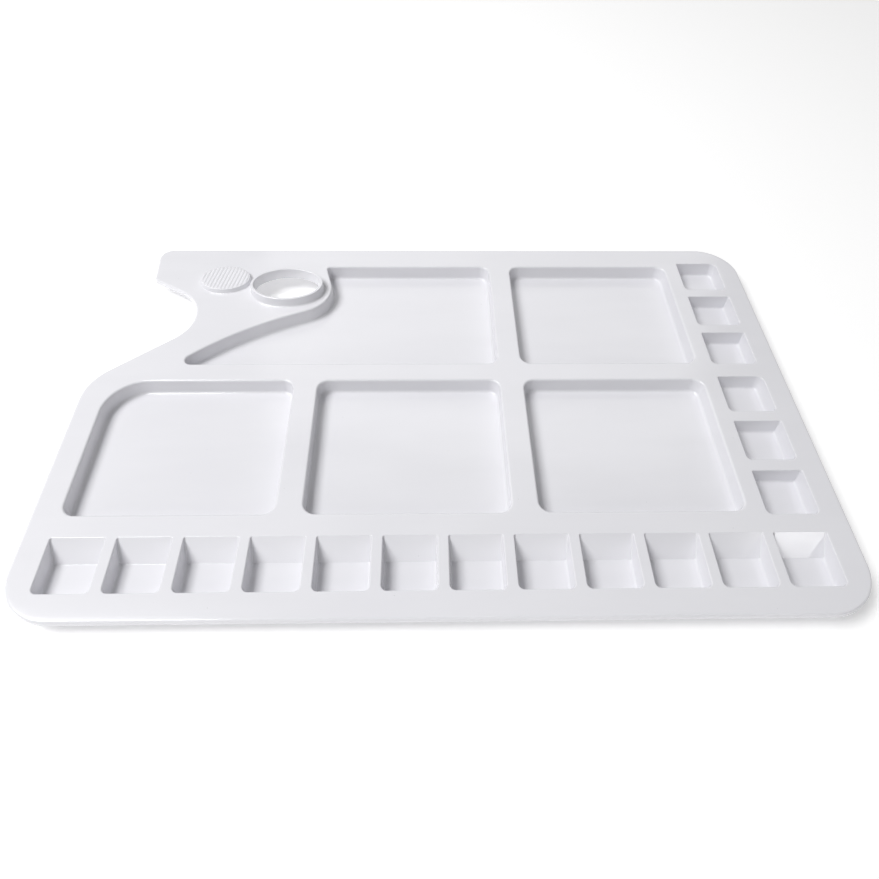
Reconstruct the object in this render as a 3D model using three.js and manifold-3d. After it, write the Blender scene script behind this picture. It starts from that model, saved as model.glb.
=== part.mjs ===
// A hand-held mixing palette for paint: one thin glossy shell with a flat deck, five wide mixing
// pans, a row of twelve small paint wells along the front, six more down the right side, a raised
// collar round the thumb hole, a ribbed rest beside it and a notch for the fingers in the left edge.
// Each region of the shell is a closed solid of its own, a hair's breadth from its neighbours.
//
// Units are millimetres. +X runs along the long side, +Y away from the painter and +Z up. The origin
// is the centre of the footprint, on the surface that the pans and wells stand on.
import * as THREE from "three";
import { mergeVertices } from "three/addons/utils/BufferGeometryUtils.js";
import Module from "manifold-3d";

const wasm = await Module();
wasm.setup();

// ---------------------------------------------------------------- driving dimensions
const LENGTH = 340; // outline along X
const DEPTH = 224; // outline along Y
const CORNER_RADIUS = 21; // the three plain corners of the outline
const SHELL = 1.6; // thickness of the deck, the floors and the rim
const WALL = 1.2; // thickness of the walls of the wells and pans
const RECESS = 7.6; // from the deck down to the floor of every well and pan
const DRAFT = 0.7; // how far a wall leans in over the recess
const RIM_HEIGHT = 3; // height of the edge that is turned down round the outline
const GAP = 0.3; // clear line between neighbouring regions

const FRONT_WELLS = { count: 12, pitch: 26.8, width: 22.3, left: -158.6, front: -100.2, back: -75.8 };
const FRONT_RADIUS = 2.4; // rounding of a well's two front corners
const BACK_RADIUS = 0.9; // rounding of a well's two back corners
const RAMP_RUN = 8.2; // a front well's back wall is a ramp this long
const SIDE_WELLS = { size: 22.3, left: 136.9, pitch: 28.3, rows: [60.1, -27.6] };
const SIDE_WELLS_PER_ROW = 3;

const PAN = { width: 88, pitch: 99.5, middle: -14.65, radius: 5.5, floorRadius: 1.2 };
const FRONT_ROW = { front: -65.3, back: 10 };
const REAR_ROW = { front: 21.3, back: 96.6 };
const SHOULDER_PAN_RADIUS = 19; // the front left pan's corner beside the shoulder of the outline
// The rear left pan's left side: from its back corner round the thumb hole, then a long bow to the
// tip beside the finger notch.
const SWEEP = {
  top: { x: -61.7, radius: 2 },
  thumb: { x: -54.2, y: 67.1, radius: 18.5 },
  bow: { x: -103.9, y: 45.3, radius: 168 },
  tip: { x: -131.1, radius: 3.3 },
  floorRadius: 1,
};

const NOTCH = { x: -149, y: 56.5, radius: 22, from: 59, to: -50 }; // finger notch, angles in degrees
const NOSE = { left: -157.3, radius: 7, tip: 85.7, tipRadius: 2.5 }; // lobe behind the notch
const SHOULDER_RADIUS = 25;

const RING = { x: -81.1, y: 76.8, halfLength: 19.7, halfWidth: 13.5, wall: 1.7, height: 4.8 };
const REST = { x: -115.6, y: 84.3, halfLength: 14.2, halfWidth: 10.8, height: 3 };
const RIB = { count: 13, pitch: 2, width: 1, height: 0.45, lean: 9.5 }; // lean from +Y, in degrees

// ---------------------------------------------------------------- worked out from those
const deckTop = RECESS + SHELL;
const deckUnder = deckTop - SHELL;
const halfLength = LENGTH / 2;
const halfDepth = DEPTH / 2;
const LEAST_RADIUS = 0.2; // a corner is never sharper than this
const ROUND_SAG = 1 - Math.SQRT1_2; // from each face to the middle of a quarter round, over its radius
const WELL_FLOOR_RADIUS = 0.8;

const glossWhite = new THREE.Color(0.86, 0.86, 0.88);
const plastic = () =>
  new THREE.MeshStandardMaterial({ color: glossWhite, roughness: 0.22, metalness: 0, flatShading: true });

const radians = THREE.MathUtils.degToRad;
const corner = (x, y, r, steps = 3) => ({ x, y, r, steps });

// ---------------------------------------------------------------- outlines from rounded corners
// The corner whose rounding is an arc about (x, y) between two angles, in degrees.
function arcCorner(arc, steps) {
  const middle = radians((arc.from + arc.to) / 2);
  const half = radians(Math.abs(arc.from - arc.to) / 2);
  const reach = arc.radius / Math.cos(half);
  return corner(arc.x + reach * Math.cos(middle), arc.y + reach * Math.sin(middle), arc.radius, steps);
}

// Where the tangent at one end of such an arc reaches a given coordinate.
function tangentPoint(arc, degrees, axis, value) {
  const angle = radians(degrees);
  const start = new THREE.Vector2(
    arc.x + arc.radius * Math.cos(angle),
    arc.y + arc.radius * Math.sin(angle),
  );
  const along = new THREE.Vector2(-Math.sin(angle), Math.cos(angle));
  const distance = (value - start[axis]) / along[axis];
  return start.addScaledVector(along, distance);
}

// The directions of the two sides that meet at a corner, and the turn from one to the other.
function sidesAt(corners, i) {
  const here = corners[i];
  const before = corners.at(i - 1);
  const after = corners[(i + 1) % corners.length];
  const arriving = new THREE.Vector2(here.x - before.x, here.y - before.y).normalize();
  const leaving = new THREE.Vector2(after.x - here.x, after.y - here.y).normalize();
  const turn = Math.atan2(arriving.cross(leaving), arriving.dot(leaving));
  return { arriving, leaving, turn };
}

// The corners of a counter-clockwise outline whose sides are all moved inwards by a distance, or
// outwards if it is negative.
function moveIn(corners, distance) {
  return corners.map((here, i) => {
    const { arriving, leaving, turn } = sidesAt(corners, i);
    const shift = distance / (1 + arriving.dot(leaving));
    const x = here.x - (arriving.y + leaving.y) * shift;
    const y = here.y + (arriving.x + leaving.x) * shift;
    return corner(x, y, Math.max(here.r - Math.sign(turn) * distance, LEAST_RADIUS), here.steps);
  });
}

// The points of such an outline, moved inwards by inset.
function outline(corners, inset = 0) {
  const moved = moveIn(corners, inset);
  return moved.flatMap((here, i) => {
    const { arriving, turn } = sidesAt(moved, i);
    const side = Math.sign(turn);
    const inwards = new THREE.Vector2(-arriving.y, arriving.x);
    const centre = new THREE.Vector2(here.x, here.y)
      .addScaledVector(arriving, -here.r * Math.tan(Math.abs(turn) / 2))
      .addScaledVector(inwards, side * here.r);
    const first = Math.atan2(-side * inwards.y, -side * inwards.x);
    return Array.from({ length: here.steps + 1 }, (_, step) => {
      const angle = first + (turn * step) / here.steps;
      return new THREE.Vector2(centre.x + here.r * Math.cos(angle), centre.y + here.r * Math.sin(angle));
    });
  });
}

function rectangle(left, right, front, back, radii, steps) {
  const [frontLeft, frontRight, backRight, backLeft] = radii;
  return [
    corner(left, front, frontLeft, steps),
    corner(right, front, frontRight, steps),
    corner(right, back, backRight, steps),
    corner(left, back, backLeft, steps),
  ];
}

function ellipse(shape, outwards, count = 40) {
  return Array.from({ length: count }, (_, i) => {
    const a = (2 * Math.PI * i) / count;
    return new THREE.Vector2(
      shape.x + (shape.halfLength + outwards) * Math.cos(a),
      shape.y + (shape.halfWidth + outwards) * Math.sin(a),
    );
  });
}

// ---------------------------------------------------------------- solids
// Skins a stack of loops with as many points each. An open stack is closed by its first and last
// loop; a ring is closed by joining the last loop to the first.
function skin(loops, isRing = false) {
  const count = loops[0].points.length;
  const positions = loops.flatMap(({ points, z }) => points.flatMap((p) => [p.x, p.y, z]));
  const index = [];
  const bands = isRing ? loops.length : loops.length - 1;
  for (let band = 0; band < bands; band += 1) {
    const low = band * count;
    const high = ((band + 1) % loops.length) * count;
    for (let i = 0; i < count; i += 1) {
      const j = (i + 1) % count;
      index.push(low + i, low + j, high + j, low + i, high + j, high + i);
    }
  }
  if (!isRing) {
    const last = (loops.length - 1) * count;
    THREE.ShapeUtils.triangulateShape(loops[0].points, []).forEach(([a, b, c]) => index.push(a, c, b));
    THREE.ShapeUtils.triangulateShape(loops.at(-1).points, []).forEach(([a, b, c]) =>
      index.push(last + a, last + b, last + c),
    );
  }
  const geometry = new THREE.BufferGeometry();
  geometry.setAttribute("position", new THREE.Float32BufferAttribute(positions, 3));
  geometry.setIndex(index);
  geometry.computeVertexNormals();
  return geometry;
}

// An open cup hung in the deck: mouth and floor are the corners of its inside at both levels, and
// the rounding between wall and floor is floorRadius.
function cup(mouth, floor, floorRadius) {
  const floorTop = deckTop - RECESS;
  const underInset = floorRadius / 2 - WALL;
  return skin([
    { points: outline(floor, underInset), z: 0 },
    { points: outline(floor, -WALL), z: floorRadius / 2 },
    { points: outline(mouth, -WALL), z: deckTop },
    { points: outline(mouth), z: deckTop },
    { points: outline(floor), z: floorTop + floorRadius },
    { points: outline(floor, floorRadius * ROUND_SAG), z: floorTop + floorRadius * ROUND_SAG },
    { points: outline(floor, floorRadius), z: floorTop },
  ]);
}

function slab(points, holes, thickness, bottom) {
  const shape = new THREE.Shape(points);
  shape.holes = holes.map((hole) => new THREE.Path(hole));
  const geometry = new THREE.ExtrudeGeometry(shape, { depth: thickness, bevelEnabled: false });
  return geometry.translate(0, 0, bottom);
}

function toSolid(geometry) {
  const bare = geometry.clone();
  bare.deleteAttribute("normal");
  bare.deleteAttribute("uv");
  const merged = mergeVertices(bare, 1e-3);
  return new wasm.Manifold(
    new wasm.Mesh({
      numProp: 3,
      vertProperties: merged.attributes.position.array,
      triVerts: new Uint32Array(merged.index.array),
    }),
  );
}

function toGeometry(solid) {
  const mesh = solid.getMesh();
  const geometry = new THREE.BufferGeometry();
  geometry.setAttribute("position", new THREE.Float32BufferAttribute(mesh.vertProperties, 3));
  geometry.setIndex([...mesh.triVerts]);
  geometry.computeVertexNormals();
  return geometry;
}

// ---------------------------------------------------------------- the outline of the palette
function paletteCorners() {
  const noseTip = tangentPoint(NOTCH, NOTCH.from, "y", NOSE.tip);
  const shoulder = tangentPoint(NOTCH, NOTCH.to, "x", -halfLength);
  return [
    corner(-halfLength, -halfDepth, CORNER_RADIUS, 8),
    corner(halfLength, -halfDepth, CORNER_RADIUS, 8),
    corner(halfLength, halfDepth, CORNER_RADIUS, 8),
    corner(NOSE.left, halfDepth, NOSE.radius, 6),
    corner(noseTip.x, noseTip.y, NOSE.tipRadius, 4),
    arcCorner(NOTCH, 12),
    corner(shoulder.x, shoulder.y, SHOULDER_RADIUS, 6),
  ];
}

// ---------------------------------------------------------------- wells and pans
const inset = (box, by, backBy = by) => [box[0] + by, box[1] - by, box[2] + by, box[3] - backBy];

function frontWell(i) {
  const left = FRONT_WELLS.left + i * FRONT_WELLS.pitch;
  const box = [left, left + FRONT_WELLS.width, FRONT_WELLS.front, FRONT_WELLS.back];
  const radii = [FRONT_RADIUS, FRONT_RADIUS, BACK_RADIUS, BACK_RADIUS];
  return {
    name: `paint_well_front_${String(i + 1).padStart(2, "0")}`,
    mouth: rectangle(...box, radii),
    floor: rectangle(...inset(box, DRAFT, RAMP_RUN), radii),
    floorRadius: WELL_FLOOR_RADIUS,
  };
}

function sideWell(i) {
  const row = SIDE_WELLS.rows[Math.floor(i / SIDE_WELLS_PER_ROW)];
  const place = i % SIDE_WELLS_PER_ROW;
  const middle = row + SIDE_WELLS.pitch * ((SIDE_WELLS_PER_ROW - 1) / 2 - place);
  const half = SIDE_WELLS.size / 2;
  const box = [SIDE_WELLS.left, SIDE_WELLS.left + SIDE_WELLS.size, middle - half, middle + half];
  const backRight = place === 0 ? FRONT_RADIUS * 1.5 : BACK_RADIUS;
  const radii = [FRONT_RADIUS, FRONT_RADIUS, backRight, BACK_RADIUS];
  return {
    name: `paint_well_side_${String(i + 1).padStart(2, "0")}`,
    mouth: rectangle(...box, radii),
    floor: rectangle(...inset(box, DRAFT), radii),
    floorRadius: WELL_FLOOR_RADIUS,
  };
}

function squarePan(name, column, row, rearLeftRadius = PAN.radius) {
  const middle = PAN.middle + column * PAN.pitch;
  const box = [middle - PAN.width / 2, middle + PAN.width / 2, row.front, row.back];
  const radii = [PAN.radius, PAN.radius, PAN.radius, rearLeftRadius];
  return {
    name,
    mouth: rectangle(...box, radii, 5),
    floor: rectangle(...inset(box, DRAFT), radii, 5),
    floorRadius: PAN.floorRadius,
  };
}

// The rear left pan sweeps round the thumb hole and runs out to a tip beside the finger notch.
function sweptPan() {
  const right = PAN.middle + PAN.width / 2;
  const mouth = [
    corner(SWEEP.tip.x, REAR_ROW.front, SWEEP.tip.radius, 6),
    corner(right, REAR_ROW.front, PAN.radius, 5),
    corner(right, REAR_ROW.back, PAN.radius, 5),
    corner(SWEEP.top.x, REAR_ROW.back, SWEEP.top.radius, 4),
    corner(SWEEP.thumb.x, SWEEP.thumb.y, SWEEP.thumb.radius, 12),
    corner(SWEEP.bow.x, SWEEP.bow.y, SWEEP.bow.radius, 8),
  ];
  const floor = moveIn(mouth, DRAFT);
  return { name: "mixing_pan_rear_left", mouth, floor, floorRadius: SWEEP.floorRadius };
}

// ---------------------------------------------------------------- thumb hole
function thumbRing() {
  const top = deckTop + RING.height;
  const lip = 0.4;
  return skin(
    [
      { points: ellipse(RING, 0), z: deckUnder },
      { points: ellipse(RING, 0), z: top - lip },
      { points: ellipse(RING, -lip), z: top },
      { points: ellipse(RING, lip - RING.wall), z: top },
      { points: ellipse(RING, -RING.wall), z: top - lip },
      { points: ellipse(RING, -RING.wall), z: deckUnder },
    ],
    true,
  );
}

function thumbRest() {
  const bottom = deckTop + GAP;
  const top = deckTop + REST.height;
  const bevel = 0.5;
  const body = skin([
    { points: ellipse(REST, 0), z: bottom },
    { points: ellipse(REST, 0), z: top - RIB.height - bevel },
    { points: ellipse(REST, -bevel), z: top - RIB.height },
  ]);
  const field = skin([
    { points: ellipse(REST, -bevel), z: bottom },
    { points: ellipse(REST, -bevel), z: top },
  ]);
  let ribs = null;
  for (let i = 0; i < RIB.count; i += 1) {
    const rib = new THREE.BoxGeometry(RIB.width, 3 * REST.halfWidth, 2 * RIB.height);
    rib.translate((i - (RIB.count - 1) / 2) * RIB.pitch, 0, 0);
    rib.rotateZ(-radians(RIB.lean));
    rib.translate(REST.x, REST.y, top - RIB.height);
    ribs = ribs ? ribs.add(toSolid(rib)) : toSolid(rib);
  }
  return toGeometry(toSolid(body).add(toSolid(field).intersect(ribs)));
}

// ---------------------------------------------------------------- deck and rim
const recesses = [
  ...Array.from({ length: FRONT_WELLS.count }, (_, i) => frontWell(i)),
  ...Array.from({ length: SIDE_WELLS.rows.length * SIDE_WELLS_PER_ROW }, (_, i) => sideWell(i)),
  squarePan("mixing_pan_front_left", -1, FRONT_ROW, SHOULDER_PAN_RADIUS),
  squarePan("mixing_pan_front_middle", 0, FRONT_ROW),
  squarePan("mixing_pan_front_right", 1, FRONT_ROW),
  sweptPan(),
  squarePan("mixing_pan_rear_right", 1, REAR_ROW),
];

function deckPlate() {
  const holes = recesses.map(({ mouth }) => outline(mouth, -WALL - GAP));
  holes.push(ellipse(RING, GAP));
  return slab(outline(paletteCorners(), SHELL + GAP), holes, SHELL, deckUnder);
}

function edgeRim() {
  const corners = paletteCorners();
  const bottom = deckTop - RIM_HEIGHT;
  const round = 0.7;
  return skin(
    [
      { points: outline(corners), z: bottom },
      { points: outline(corners), z: deckTop - round },
      { points: outline(corners, round * ROUND_SAG), z: deckTop - round * ROUND_SAG },
      { points: outline(corners, round), z: deckTop },
      { points: outline(corners, SHELL), z: deckTop },
      { points: outline(corners, SHELL), z: bottom },
    ],
    true,
  );
}

// ---------------------------------------------------------------- the palette
const palette = new THREE.Group();

function place(name, geometry) {
  const mesh = new THREE.Mesh(geometry, plastic());
  mesh.name = name;
  palette.add(mesh);
}

place("deck_plate", deckPlate());
place("edge_rim", edgeRim());
place("thumb_ring", thumbRing());
place("thumb_rest", thumbRest());
recesses.forEach(({ name, mouth, floor, floorRadius }) => place(name, cup(mouth, floor, floorRadius)));

export default palette;
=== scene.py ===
import math
from collections import namedtuple

import bpy
from mathutils import Matrix, Vector
from mathutils.geometry import tessellate_polygon


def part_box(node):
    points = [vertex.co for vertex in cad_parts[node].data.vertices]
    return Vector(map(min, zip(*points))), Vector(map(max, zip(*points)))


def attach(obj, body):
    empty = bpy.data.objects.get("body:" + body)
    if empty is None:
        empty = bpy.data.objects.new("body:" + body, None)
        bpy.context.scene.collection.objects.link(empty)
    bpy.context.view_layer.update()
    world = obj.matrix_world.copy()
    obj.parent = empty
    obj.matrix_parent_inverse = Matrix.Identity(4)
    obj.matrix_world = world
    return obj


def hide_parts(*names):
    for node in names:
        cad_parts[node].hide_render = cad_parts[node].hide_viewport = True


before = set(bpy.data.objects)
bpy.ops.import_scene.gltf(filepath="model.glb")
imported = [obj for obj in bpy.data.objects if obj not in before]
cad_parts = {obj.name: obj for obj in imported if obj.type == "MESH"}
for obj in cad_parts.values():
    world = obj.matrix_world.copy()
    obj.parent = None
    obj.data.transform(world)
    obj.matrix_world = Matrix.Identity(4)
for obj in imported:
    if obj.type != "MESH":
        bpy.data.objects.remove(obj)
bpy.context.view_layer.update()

MM = 0.001

# ---------------------------------------------------------------- what the frame says
deck_low, deck_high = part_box("deck_plate")
rim_low, rim_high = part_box("edge_rim")
DECK_TOP = deck_high.z
SHELL = deck_high.z - deck_low.z
RECESS = DECK_TOP - SHELL
RIM_HEIGHT = rim_high.z - rim_low.z

# ---------------------------------------------------------------- the moulding's own sizes
WALL = 1.2 * MM             # walls of the wells and pans
DRAFT = 0.7 * MM            # how far such a wall leans in
FLANGE = 2.0 * MM           # strip of deck that belongs to each well and pan
RIM_BAND = 3.0 * MM         # strip of deck that belongs to the rim
UNDER_ROUND = 0.5 * MM      # rounding where a wall meets the underside of the deck
LEAST_RADIUS = 0.15 * MM
CORNER_RADIUS = 21 * MM
SHOULDER_RADIUS = 25 * MM
NOSE_RADIUS = 7 * MM
NOSE_TIP_RADIUS = 2.5 * MM
WELL_FRONT_RADIUS = 2.4 * MM
WELL_BACK_RADIUS = 0.9 * MM
WELL_SOFT_RADIUS = 3.6 * MM
RAMP_RUN = 8.2 * MM
PAN_RADIUS = 5.5 * MM
SHOULDER_PAN_RADIUS = 19 * MM

# the rear left pan's left side: the corner beside the thumb hole, the long bow, and its two ends
SWEEP_TOP_X, SWEEP_TOP_RADIUS = -61.7 * MM, 2 * MM
SWEEP_THUMB_X, SWEEP_THUMB_Y, SWEEP_THUMB_RADIUS = -54.2 * MM, 67.1 * MM, 18.5 * MM
SWEEP_BOW_X, SWEEP_BOW_Y, SWEEP_BOW_RADIUS = -103.9 * MM, 45.3 * MM, 168 * MM
SWEEP_TIP_X, SWEEP_TIP_RADIUS = -131.1 * MM, 3.3 * MM

Corner = namedtuple("Corner", "x y radius steps")
Arc = namedtuple("Arc", "x y radius start end")
Edges = namedtuple("Edges", "top foot")

WELL_EDGES = Edges(top=0.5 * MM, foot=1.0 * MM)
PAN_EDGES = Edges(top=1.0 * MM, foot=1.3 * MM)
RAMP_FOOT = 0.4 * MM
NOTCH = Arc(-149 * MM, 56.5 * MM, 22 * MM, math.radians(59), math.radians(-50))
NOSE_TIP_Y = 85.7 * MM
NOSE_BACK = 8.3 * MM        # how far left of the notch's centre the nose reaches at the back
RING_SEAT = 0.8 * MM        # how far inside the collar's outer face the deck ends

# ---------------------------------------------------------------- the plastic's surface
COOLER_WHITE = (0.792, 0.790, 0.826, 1)
WARMER_WHITE = (0.812, 0.810, 0.842, 1)
LEAST_ROUGHNESS = 0.10
CLOUDY_ROUGHNESS = 0.07
SCRATCH_ROUGHNESS = 0.12
RUBBED_ROUGHNESS = 0.12
SPECK_SPACING = 9 * MM
WAVE_DEPTH = 0.05 * MM
PEEL_DEPTH = 0.002 * MM
SCRATCH_DEPTH = 0.004 * MM
POLYSTYRENE_IOR = 1.59

# ---------------------------------------------------------------- the floor, air and camera
FLOOR_WHITE = 0.91
FLOOR_GLOW = 0.25
FLOOR_HALF = 6.0
AIR_BRIGHTNESS = 0.25
SENSOR_WIDTH = 36.0         # in mm, as Blender's cameras have it
FRAME_PIXELS = 879
FOCAL_PIXELS = 680
CAMERA_X, CAMERA_Y = -0.00746, -0.2155
CAMERA_RISE = 0.24293       # above the deck
CAMERA_PITCH, CAMERA_YAW, CAMERA_ROLL = 0.9096, -0.0362, 0.0234


# ---------------------------------------------------------------- outlines
def arc_corner(arc, steps):
    """The corner of an outline whose rounding is this arc."""
    middle = (arc.start + arc.end) / 2
    reach = arc.radius / math.cos(abs(arc.start - arc.end) / 2)
    return Corner(arc.x + reach * math.cos(middle), arc.y + reach * math.sin(middle), arc.radius, steps)


def tangent_point(arc, angle, axis, value):
    """Where the tangent to an arc at an angle reaches x or y = value (axis 0 or 1)."""
    start = Vector((arc.x + arc.radius * math.cos(angle), arc.y + arc.radius * math.sin(angle)))
    along = Vector((-math.sin(angle), math.cos(angle)))
    return start + along * ((value - start[axis]) / along[axis])


def loop(corners, insets, heights):
    """The points of a counter-clockwise outline. Side i, from corner i to the next, is moved
    inwards by insets[i] and lies at heights[i]."""
    points = []
    for i, here in enumerate(corners):
        before = corners[i - 1]
        after = corners[(i + 1) % len(corners)]
        arriving = Vector((here.x - before.x, here.y - before.y)).normalized()
        leaving = Vector((after.x - here.x, after.y - here.y)).normalized()
        inwards = Vector((-arriving.y, arriving.x))
        cross = arriving.cross(leaving)
        turn = math.atan2(cross, arriving.dot(leaving))
        side = math.copysign(1, turn)
        radius = max(here.radius - side * min(insets[i - 1], insets[i]), LEAST_RADIUS)
        shift = (leaving * insets[i - 1] - arriving * insets[i]) / cross
        tip = Vector((here.x, here.y)) + shift
        tangent = radius * math.tan(abs(turn) / 2)
        centre = tip - arriving * tangent + inwards * (side * radius)
        first = math.atan2(-side * inwards.y, -side * inwards.x)
        for step in range(here.steps + 1):
            share = step / here.steps
            angle = first + turn * share
            height = heights[i - 1] + (heights[i] - heights[i - 1]) * share
            points.append(Vector((centre.x + radius * math.cos(angle),
                                  centre.y + radius * math.sin(angle), height)))
    return points


def even_loop(corners, inset, height):
    sides = len(corners)
    return loop(corners, [inset] * sides, [height] * sides)


def ellipse_loop(centre, half, outwards, height, count=96):
    """An ellipse's points, each moved outwards along its own normal."""
    points = []
    for i in range(count):
        angle = 2 * math.pi * i / count
        cosine = math.cos(angle)
        sine = math.sin(angle)
        normal = Vector((half.y * cosine, half.x * sine)).normalized()
        points.append(Vector((centre.x + half.x * cosine + outwards * normal.x,
                              centre.y + half.y * sine + outwards * normal.y, height)))
    return points


# ---------------------------------------------------------------- meshes
def finish_mesh(name, points, faces, wear, node):
    """Makes a piece of the moulding from points and faces, with its edge wear, in place of a node."""
    mesh = bpy.data.meshes.new(name)
    mesh.from_pydata(points, [], faces)
    mesh.attributes.new("edge_wear", "FLOAT", "POINT").data.foreach_set("value", wear)
    mesh.shade_smooth()
    mesh.set_sharp_from_angle(angle=math.radians(32))
    mesh.materials.append(PLASTIC)
    piece = bpy.data.objects.new(name, mesh)
    bpy.context.collection.objects.link(piece)
    weighted = piece.modifiers.new("even_flats", "WEIGHTED_NORMAL")
    weighted.keep_sharp = True
    weighted.weight = 80
    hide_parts(node)
    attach(piece, "root")
    return piece


def loft(name, levels, node, closed=False):
    """Skins a stack of levels (points, wear). Closed joins the last level to the first; otherwise
    the first and the last are capped."""
    count = len(levels[0][0])
    points = [point for level, _ in levels for point in level]
    wear = [value for _, value in levels for _ in range(count)]
    faces = []
    bands = len(levels) if closed else len(levels) - 1
    for band in range(bands):
        low = band * count
        high = (band + 1) % len(levels) * count
        for i in range(count):
            j = (i + 1) % count
            faces.append((low + i, low + j, high + j, high + i))
    if not closed:
        last = (len(levels) - 1) * count
        faces.append(tuple(reversed(range(count))))
        faces.append(tuple(range(last, last + count)))
    return finish_mesh(name, points, faces, wear, node)


# ---------------------------------------------------------------- wells and pans
def wall_profile(run, edges, steps=6):
    """(inset, drop, wear) down a wall that leans in by run over the recess: round the edge of the
    deck, down, and round its foot on to the floor. Wear is greatest half way round the edge."""
    lean = math.atan2(RECESS, run)
    reach = math.tan(lean / 2)
    profile = []
    for step in range(steps + 1):
        bend = lean * step / steps
        wear = math.sin(math.pi * step / steps)
        profile.append((edges.top * (math.sin(bend) - reach), -edges.top * (1 - math.cos(bend)), wear))
    for step in range(steps + 1):
        bend = lean * (1 - step / steps)
        profile.append((run + edges.foot * (reach - math.sin(bend)),
                        edges.foot * (1 - math.cos(bend)) - RECESS, 0.0))
    return profile


def recess(node, corners, runs, edges):
    """A well or pan with its strip of deck: runs[i] is how far wall i leans in."""
    inside = []
    outside = []
    for run in runs:
        foot = RAMP_FOOT if run == RAMP_RUN else edges.foot
        lean = math.atan2(RECESS, run)
        shift = run * SHELL / RECESS - WALL / math.sin(lean)
        inside.append(wall_profile(run, Edges(edges.top, foot)))
        under = wall_profile(run, Edges(UNDER_ROUND, foot + WALL))
        outside.append([(inset + shift, drop - SHELL, 0.0) for inset, drop, _ in under])

    def level(profiles, k):
        insets = [profile[k][0] for profile in profiles]
        heights = [DECK_TOP + profile[k][1] for profile in profiles]
        return loop(corners, insets, heights), profiles[0][k][2]

    count = len(inside[0])
    levels = [level(outside, k) for k in reversed(range(count))]
    levels.append((even_loop(corners, -FLANGE, DECK_TOP - SHELL), 0.0))
    levels.append((even_loop(corners, -FLANGE, DECK_TOP), 0.0))
    levels.extend(level(inside, k) for k in range(count))
    loft(f"{node}_shell", levels, node)
    return even_loop(corners, -FLANGE, DECK_TOP)


def mouth(node, radii, steps):
    """The corners of a four-sided recess at deck level, from its node's box."""
    low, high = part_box(node)
    left, right = low.x + WALL, high.x - WALL
    front, back = low.y + WALL, high.y - WALL
    places = ((left, front), (right, front), (right, back), (left, back))
    return [Corner(*place, radius, steps) for place, radius in zip(places, radii)]


def front_well(node):
    radii = (WELL_FRONT_RADIUS, WELL_FRONT_RADIUS, WELL_BACK_RADIUS, WELL_BACK_RADIUS)
    return recess(node, mouth(node, radii, 7), (DRAFT, DRAFT, RAMP_RUN, DRAFT), WELL_EDGES)


def side_well(node, is_rearmost):
    back_right = WELL_SOFT_RADIUS if is_rearmost else WELL_BACK_RADIUS
    radii = (WELL_FRONT_RADIUS, WELL_FRONT_RADIUS, back_right, WELL_BACK_RADIUS)
    return recess(node, mouth(node, radii, 7), [DRAFT] * 4, WELL_EDGES)


def square_pan(node, back_left=PAN_RADIUS):
    radii = (PAN_RADIUS, PAN_RADIUS, PAN_RADIUS, back_left)
    return recess(node, mouth(node, radii, 14), [DRAFT] * 4, PAN_EDGES)


def swept_pan(node):
    """The pan that sweeps round the thumb hole to a tip beside the finger notch."""
    low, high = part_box(node)
    right = high.x - WALL
    front, back = low.y + WALL, high.y - WALL
    corners = [
        Corner(SWEEP_TIP_X, front, SWEEP_TIP_RADIUS, 16),
        Corner(right, front, PAN_RADIUS, 14),
        Corner(right, back, PAN_RADIUS, 14),
        Corner(SWEEP_TOP_X, back, SWEEP_TOP_RADIUS, 10),
        Corner(SWEEP_THUMB_X, SWEEP_THUMB_Y, SWEEP_THUMB_RADIUS, 40),
        Corner(SWEEP_BOW_X, SWEEP_BOW_Y, SWEEP_BOW_RADIUS, 30),
    ]
    return recess(node, corners, [DRAFT] * len(corners), PAN_EDGES)


# ---------------------------------------------------------------- outline, rim and deck
def palette_corners():
    left, right = rim_low.x, rim_high.x
    front, back = rim_low.y, rim_high.y
    nose_left = NOTCH.x - NOSE_BACK
    nose_tip = tangent_point(NOTCH, NOTCH.start, 1, NOSE_TIP_Y)
    shoulder = tangent_point(NOTCH, NOTCH.end, 0, left)
    return [
        Corner(left, front, CORNER_RADIUS, 30),
        Corner(right, front, CORNER_RADIUS, 30),
        Corner(right, back, CORNER_RADIUS, 30),
        Corner(nose_left, back, NOSE_RADIUS, 16),
        Corner(nose_tip.x, nose_tip.y, NOSE_TIP_RADIUS, 10),
        arc_corner(NOTCH, 44),
        Corner(shoulder.x, shoulder.y, SHOULDER_RADIUS, 20),
    ]


def edge_rim(corners):
    """The turned-down edge: a rounded bead, an upright skirt, and a plain lip."""
    bead = 1.1 * MM
    lip = 0.4 * MM
    steps = 6
    profile = [(RIM_BAND, 0.0, 0.0)]
    for step in range(steps + 1):
        bend = math.pi / 2 * step / steps
        wear = 0.5 * math.sin(math.pi * step / steps)
        profile.append((bead * (1 - math.sin(bend)), -bead * (1 - math.cos(bend)), wear))
    for step in range(2 * steps + 1):
        bend = math.pi * step / (2 * steps)
        middle = lip if bend < math.pi / 2 else SHELL - lip
        profile.append((middle - lip * math.cos(bend), lip * (1 - math.sin(bend)) - RIM_HEIGHT, 0.0))
    for step in range(steps + 1):
        bend = math.pi / 2 * step / steps
        profile.append((SHELL + UNDER_ROUND * (1 - math.cos(bend)),
                        -SHELL - UNDER_ROUND * (1 - math.sin(bend)), 0.0))
    profile.append((RIM_BAND, -SHELL, 0.0))
    levels = [(even_loop(corners, inset, DECK_TOP + drop), wear) for inset, drop, wear in profile]
    loft("edge_rim_shell", levels[::-1], "edge_rim", closed=True)


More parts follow.
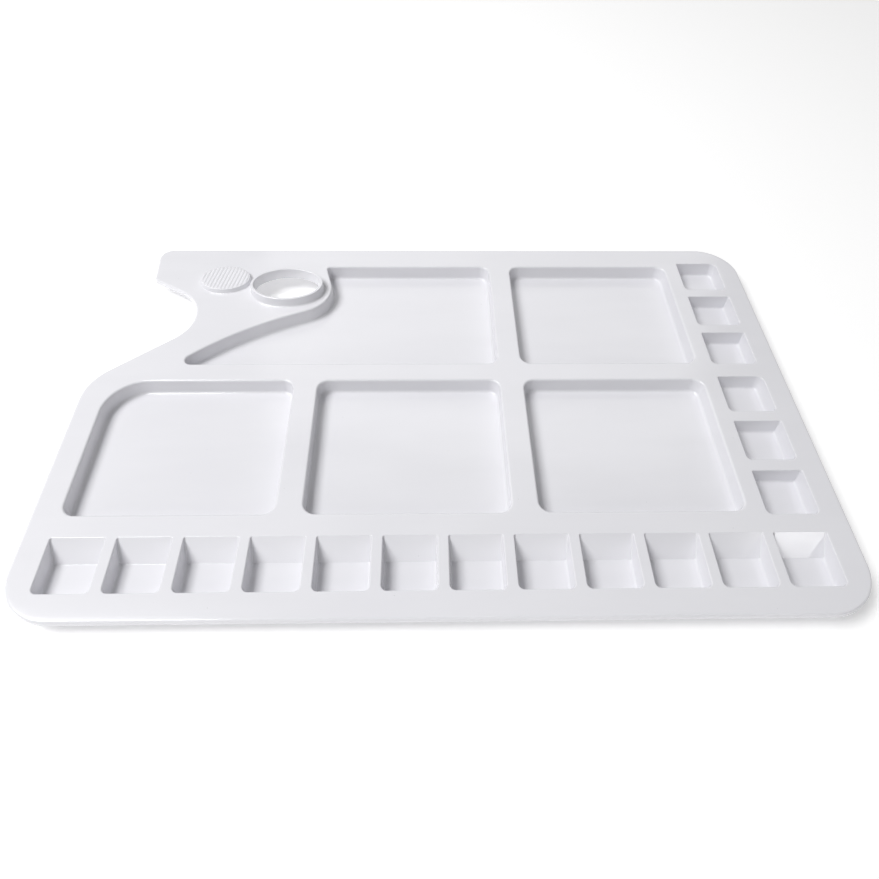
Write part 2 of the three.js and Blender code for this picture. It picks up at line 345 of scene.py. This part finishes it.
def deck_plate(outer, holes):
    """The flat of the deck, with a hole for every recess."""
    rings = [outer] + holes
    triangles = tessellate_polygon(rings)
    top = [point for ring in rings for point in ring]
    count = len(top)
    drop = Vector((0, 0, SHELL))
    points = top + [point - drop for point in top]
    faces = []
    for a, b, c in triangles:
        if (top[b] - top[a]).cross(top[c] - top[a]).z < 0:
            b, c = c, b
        faces.append((a, b, c))
        faces.append((a + count, c + count, b + count))
    start = 0
    for ring in rings:
        size = len(ring)
        outwards = 1 if ring is outer else -1
        for i in range(size):
            here, following = start + i, start + (i + 1) % size
            side = (here, here + count, following + count, following)
            faces.append(side if outwards > 0 else side[::-1])
        start += size
    finish_mesh("deck_plate_shell", points, faces, [0.0] * len(points), "deck_plate")


# ---------------------------------------------------------------- thumb ring and thumb rest
def middle_and_half(node):
    low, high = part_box(node)
    return (low + high) / 2, (high - low) / 2


def thumb_ring():
    """The collar: a thin upright wall that flares on to the deck, with a rounded lip."""
    middle, half = middle_and_half("thumb_ring")
    height = 2 * half.z - SHELL
    wall = 1.5 * MM
    lip = 0.45 * MM
    flare = 1.1 * MM
    lean = 0.35 * MM
    steps = 6
    profile = [(flare, 0.0, 0.0)]
    for step in range(1, steps + 1):
        bend = math.pi / 2 * step / steps
        profile.append((flare * (1 - math.sin(bend)), flare * (1 - math.cos(bend)), 0.0))
    for step in range(steps + 1):
        bend = math.pi / 2 * step / steps
        profile.append((-lean - lip * (1 - math.cos(bend)), height - lip * (1 - math.sin(bend)), 1.0))
    for step in range(steps + 1):
        bend = math.pi / 2 * step / steps
        profile.append((-lean - wall + lip * (1 - math.sin(bend)), height - lip * (1 - math.cos(bend)), 1.0))
    inner = -wall - lean
    profile.append((inner, lip - SHELL, 0.3))
    profile.append((inner + lip, -SHELL, 0.3))
    profile.append((-RING_SEAT, -SHELL, 0.0))
    profile.append((-RING_SEAT, 0.0, 0.0))
    levels = [(ellipse_loop(middle, half, out, DECK_TOP + rise), wear) for out, rise, wear in profile]
    loft("thumb_ring_shell", levels, "thumb_ring", closed=True)
    return ellipse_loop(middle, half, -RING_SEAT, DECK_TOP)


def thumb_rest():
    """The oval pad: a low wall that flares on to the deck, and a top with fine rounded ribs."""
    middle, half = middle_and_half("thumb_rest")
    top = 2 * half.z
    pitch = 2 * MM
    rib = 0.4 * MM
    lean = math.radians(9.5)
    across = Vector((math.cos(lean), -math.sin(lean)))
    along = Vector((math.sin(lean), math.cos(lean)))
    shoulder = 1.3 * MM
    a, b = half.x - shoulder, half.y - shoulder
    v_v = along.x ** 2 / a ** 2 + along.y ** 2 / b ** 2
    u_v = across.x * along.x / a ** 2 + across.y * along.y / b ** 2
    u_u = across.x ** 2 / a ** 2 + across.y ** 2 / b ** 2
    reach = math.sqrt(v_v / (v_v * u_u - u_v ** 2))
    columns, rows = 220, 20

    def at(i, j):
        """A point of the pad's top, on a grid of chords across the oval."""
        u = -reach * math.cos(math.pi * i / columns)
        root = math.sqrt(max(u_v ** 2 * u ** 2 - v_v * (u_u * u ** 2 - 1), 0))
        v = (-u_v * u + root * (2 * j / rows - 1)) / v_v
        place = across * u + along * v
        margin = 1 - math.hypot(place.x / a, place.y / b)
        fade = min(margin / 0.06, 1.0)
        ridge = 0.5 + 0.5 * math.cos(2 * math.pi * u / pitch)
        rise = rib * fade * ridge ** 0.8
        height = DECK_TOP + top - rib + rise
        return Vector((middle.x + place.x, middle.y + place.y, height)), fade * ridge

    points, wear, faces = [], [], []
    for i in range(1, columns):
        for j in range(rows + 1):
            point, ridge = at(i, j)
            points.append(point)
            wear.append(0.5 * ridge)
    for i in range(columns - 2):
        for j in range(rows):
            here = i * (rows + 1) + j
            faces.append((here, here + rows + 1, here + rows + 2, here + 1))
    far = (columns - 2) * (rows + 1)
    rim = [i * (rows + 1) for i in range(columns - 1)]
    rim += [far + j for j in range(1, rows)]
    rim += [i * (rows + 1) + rows for i in reversed(range(columns - 1))]
    rim += [j for j in reversed(range(1, rows))]
    round_off = 0.3 * MM
    flare = 0.5 * MM
    draft = 0.5 * MM
    sunk = 0.3 * MM
    steps = 6
    skirt = []
    for step in range(1, steps + 1):
        bend = math.pi / 2 * step / steps
        skirt.append((round_off * math.sin(bend), top - rib - round_off * (1 - math.cos(bend)), 1.0))
    for step in range(1, steps + 1):
        bend = math.pi / 2 * step / steps
        skirt.append((round_off + draft + flare * (1 - math.cos(bend)), flare * (1 - math.sin(bend)), 0.0))
    skirt.append((round_off + draft + flare, -sunk, 0.0))
    above = rim
    for out, rise, value in skirt:
        first = len(points)
        for index in rim:
            offset = points[index] - middle
            normal = Vector((offset.x / a ** 2, offset.y / b ** 2)).normalized()
            points.append(Vector((points[index].x + normal.x * out,
                                  points[index].y + normal.y * out, DECK_TOP + rise)))
            wear.append(value)
        below = list(range(first, first + len(rim)))
        for k in range(len(rim)):
            m = (k + 1) % len(rim)
            faces.append((above[k], below[k], below[m], above[m]))
        above = below
    faces.append(tuple(reversed(above)))
    finish_mesh("thumb_rest_shell", points, faces, wear, "thumb_rest")


# ---------------------------------------------------------------- materials
def add(tree, kind, links=(), **settings):
    """Adds a shader node, sets its fields and its unlinked inputs, and links the inputs given."""
    made = tree.nodes.new(kind)
    for key, value in settings.items():
        if hasattr(made, key):
            setattr(made, key, value)
        else:
            made.inputs[key.replace("_", " ")].default_value = value
    for socket, source in dict(links).items():
        tree.links.new(source, made.inputs[socket])
    return made


def ramp(tree, source, stops):
    """A colour ramp on a value, from (position, grey) stops."""
    made = add(tree, "ShaderNodeValToRGB", {"Fac": source})
    elements = made.color_ramp.elements
    while len(elements) < len(stops):
        elements.new(0.5)
    for element, (position, shade) in zip(elements, stops):
        element.position = position
        element.color = shade if isinstance(shade, tuple) else (shade, shade, shade, 1)
    return made.outputs["Color"]


def math_node(tree, operation, first, second):
    made = tree.nodes.new("ShaderNodeMath")
    made.operation = operation
    for socket, value in zip(made.inputs, (first, second)):
        if isinstance(value, (int, float)):
            socket.default_value = value
        else:
            tree.links.new(value, socket)
    return made.outputs[0]


def multiply_colours(tree, first, second):
    made = add(tree, "ShaderNodeMix", data_type="RGBA", blend_type="MULTIPLY")
    colour_a, colour_b = [socket for socket in made.inputs if socket.type == "RGBA"]
    made.inputs["Factor"].default_value = 1.0
    tree.links.new(first, colour_a)
    tree.links.new(second, colour_b)
    return next(socket for socket in made.outputs if socket.type == "RGBA")


def noise(tree, vector, scale, detail=2.0, stretch=(1, 1, 1), turn=0.0):
    """Noise on the moulding's own millimetres; scale is in features per millimetre."""
    mapping = add(tree, "ShaderNodeMapping", {"Vector": vector})
    mapping.inputs["Scale"].default_value = [scale * s / MM for s in stretch]
    mapping.inputs["Rotation"].default_value = (0, 0, turn)
    made = add(tree, "ShaderNodeTexNoise", {"Vector": mapping.outputs["Vector"]}, Scale=1.0, Detail=detail)
    return made.outputs["Fac"]


def scratches(tree, vector, turn, scale):
    """Hairline scratches, long and sparse, in one direction."""
    lines = noise(tree, vector, scale, 1.0, (0.02, 1, 1), turn)
    fine = ramp(tree, lines, [(0.495, 0.0), (0.5, 1.0), (0.505, 0.0)])
    patches = ramp(tree, noise(tree, vector, 0.05, 2.0, turn=turn + 1), [(0.52, 0.0), (0.62, 1.0)])
    return math_node(tree, "MULTIPLY", fine, patches)


def polystyrene():
    """White polystyrene straight from a polished mould: glossy, faintly wavy, with flow marks,
    a few specks in the pigment, hairline scratches, and edges rubbed a little dull."""
    material = bpy.data.materials.new("white_polystyrene")
    material.use_nodes = True
    tree = material.node_tree
    shader = tree.nodes["Principled BSDF"]
    where = add(tree, "ShaderNodeTexCoord").outputs["Object"]
    worn = add(tree, "ShaderNodeAttribute", attribute_name="edge_wear").outputs["Fac"]

    clouds = noise(tree, where, 0.012, 3.0)
    tint = ramp(tree, clouds, [(0.3, COOLER_WHITE), (0.7, WARMER_WHITE)])
    flow = noise(tree, where, 0.05, 3.0, (0.25, 1, 1), 0.35)
    streaks = ramp(tree, flow, [(0.35, 0.975), (0.65, 1.0)])
    cells = add(tree, "ShaderNodeTexVoronoi", {"Vector": where}, Scale=1 / SPECK_SPACING)
    speck = ramp(tree, cells.outputs["Distance"], [(0.012, 0.72), (0.022, 1.0)])
    colour = multiply_colours(tree, multiply_colours(tree, tint, streaks), speck)
    tree.links.new(colour, shader.inputs["Base Color"])

    lines = math_node(tree, "ADD", scratches(tree, where, 0.4, 0.6), scratches(tree, where, 2.2, 0.45))
    rubbed = math_node(tree, "MULTIPLY", worn, noise(tree, where, 0.25, 4.0))
    rough = math_node(tree, "ADD", math_node(tree, "MULTIPLY", clouds, CLOUDY_ROUGHNESS), LEAST_ROUGHNESS)
    rough = math_node(tree, "ADD", rough, math_node(tree, "MULTIPLY", lines, SCRATCH_ROUGHNESS))
    rough = math_node(tree, "ADD", rough, math_node(tree, "MULTIPLY", rubbed, RUBBED_ROUGHNESS))
    tree.links.new(rough, shader.inputs["Roughness"])

    wavy = add(tree, "ShaderNodeBump", {"Height": noise(tree, where, 0.03, 2.0)}, Strength=1.0)
    wavy.inputs["Distance"].default_value = WAVE_DEPTH
    peel = add(tree, "ShaderNodeBump", {"Height": noise(tree, where, 0.7, 2.0),
                                        "Normal": wavy.outputs["Normal"]}, Strength=1.0)
    peel.inputs["Distance"].default_value = PEEL_DEPTH
    cut = add(tree, "ShaderNodeBump", {"Height": lines, "Normal": peel.outputs["Normal"]},
              Strength=1.0, invert=True)
    cut.inputs["Distance"].default_value = SCRATCH_DEPTH
    tree.links.new(cut.outputs["Normal"], shader.inputs["Normal"])
    shader.inputs["IOR"].default_value = POLYSTYRENE_IOR
    return material


def pale_floor():
    """Plain white card, the same all over, with an even glow that keeps it white all round."""
    material = bpy.data.materials.new("pale_floor")
    material.use_nodes = True
    shader = material.node_tree.nodes["Principled BSDF"]
    shader.inputs["Base Color"].default_value = (FLOOR_WHITE, FLOOR_WHITE, FLOOR_WHITE, 1)
    shader.inputs["Roughness"].default_value = 0.7
    shader.inputs["Emission Color"].default_value = (1, 1, 1, 1)
    shader.inputs["Emission Strength"].default_value = FLOOR_GLOW
    return material


# ---------------------------------------------------------------- the stage
def floor():
    square = [(x * FLOOR_HALF, y * FLOOR_HALF, 0) for x, y in ((-1, -1), (1, -1), (1, 1), (-1, 1))]
    mesh = bpy.data.meshes.new("floor")
    mesh.from_pydata(square, [], [(0, 1, 2, 3)])
    mesh.materials.append(pale_floor())
    plane = bpy.data.objects.new("floor", mesh)
    bpy.context.collection.objects.link(plane)


def soft_light(name, place, target, size, power):
    lamp = bpy.data.lights.new(name, "AREA")
    lamp.shape = "RECTANGLE"
    lamp.size, lamp.size_y = size
    lamp.energy = power
    holder = bpy.data.objects.new(name, lamp)
    holder.location = place
    holder.rotation_euler = (Vector(target) - Vector(place)).to_track_quat("-Z", "Y").to_euler()
    bpy.context.collection.objects.link(holder)


def studio():
    """A large window to the left, weak fills in front and behind, and a small window that shows as
    a reflection on the last front well's ramp."""
    soft_light("main_window", (-0.68, -0.07, 1.04), (0, 0, 0), (0.72, 0.54), 12.7)
    soft_light("front_fill", (-0.2, -1.6, 0.75), (0, 0, 0), (1.6, 0.8), 3.4)
    soft_light("rear_fill", (0.15, 1.2, 1.0), (0, 0, 0), (1.2, 0.8), 2.8)
    soft_light("side_window", (1.19, -1.66, 1.13), (0.147, -0.08, 0), (0.17, 0.2), 1.0)
    world = bpy.data.worlds.new("studio_air")
    world.use_nodes = True
    background = world.node_tree.nodes["Background"]
    background.inputs["Color"].default_value = (1, 1, 1, 1)
    background.inputs["Strength"].default_value = AIR_BRIGHTNESS
    bpy.context.scene.world = world
    bpy.context.scene.view_settings.view_transform = "Standard"


def camera():
    """The photograph's view: in front, a little to the left, looking down at about 52 degrees."""
    sine, cosine = math.sin(CAMERA_PITCH), math.cos(CAMERA_PITCH)
    across = Vector((1, 0, 0))
    down = Vector((0, -sine, -cosine))
    ahead = Vector((0, cosine, -sine))
    turn = Matrix.Rotation(CAMERA_YAW, 3, "Z")
    across, down, ahead = (turn @ v for v in (across, down, ahead))
    sine, cosine = math.sin(CAMERA_ROLL), math.cos(CAMERA_ROLL)
    right = across * cosine - down * sine
    below = across * sine + down * cosine
    lens = bpy.data.cameras.new("camera")
    lens.sensor_width = SENSOR_WIDTH
    lens.lens = SENSOR_WIDTH * FOCAL_PIXELS / FRAME_PIXELS
    lens.clip_start = 0.01
    holder = bpy.data.objects.new("camera", lens)
    basis = Matrix((right, -below, -ahead)).transposed().to_4x4()
    holder.matrix_world = Matrix.Translation((CAMERA_X, CAMERA_Y, DECK_TOP + CAMERA_RISE)) @ basis
    bpy.context.collection.objects.link(holder)
    bpy.context.scene.camera = holder


# ---------------------------------------------------------------- the palette
PLASTIC = polystyrene()
camera()
outline = palette_corners()
edge_rim(outline)
holes = []
for number in range(1, 13):
    holes.append(front_well(f"paint_well_front_{number:02d}"))
for number in range(1, 7):
    holes.append(side_well(f"paint_well_side_{number:02d}", number in (1, 4)))
holes.append(square_pan("mixing_pan_front_left", SHOULDER_PAN_RADIUS))
for place in ("front_middle", "front_right", "rear_right"):
    holes.append(square_pan(f"mixing_pan_{place}"))
holes.append(swept_pan("mixing_pan_rear_left"))
holes.append(thumb_ring())
thumb_rest()
deck_plate(even_loop(outline, RIM_BAND, DECK_TOP), holes)
floor()
studio()
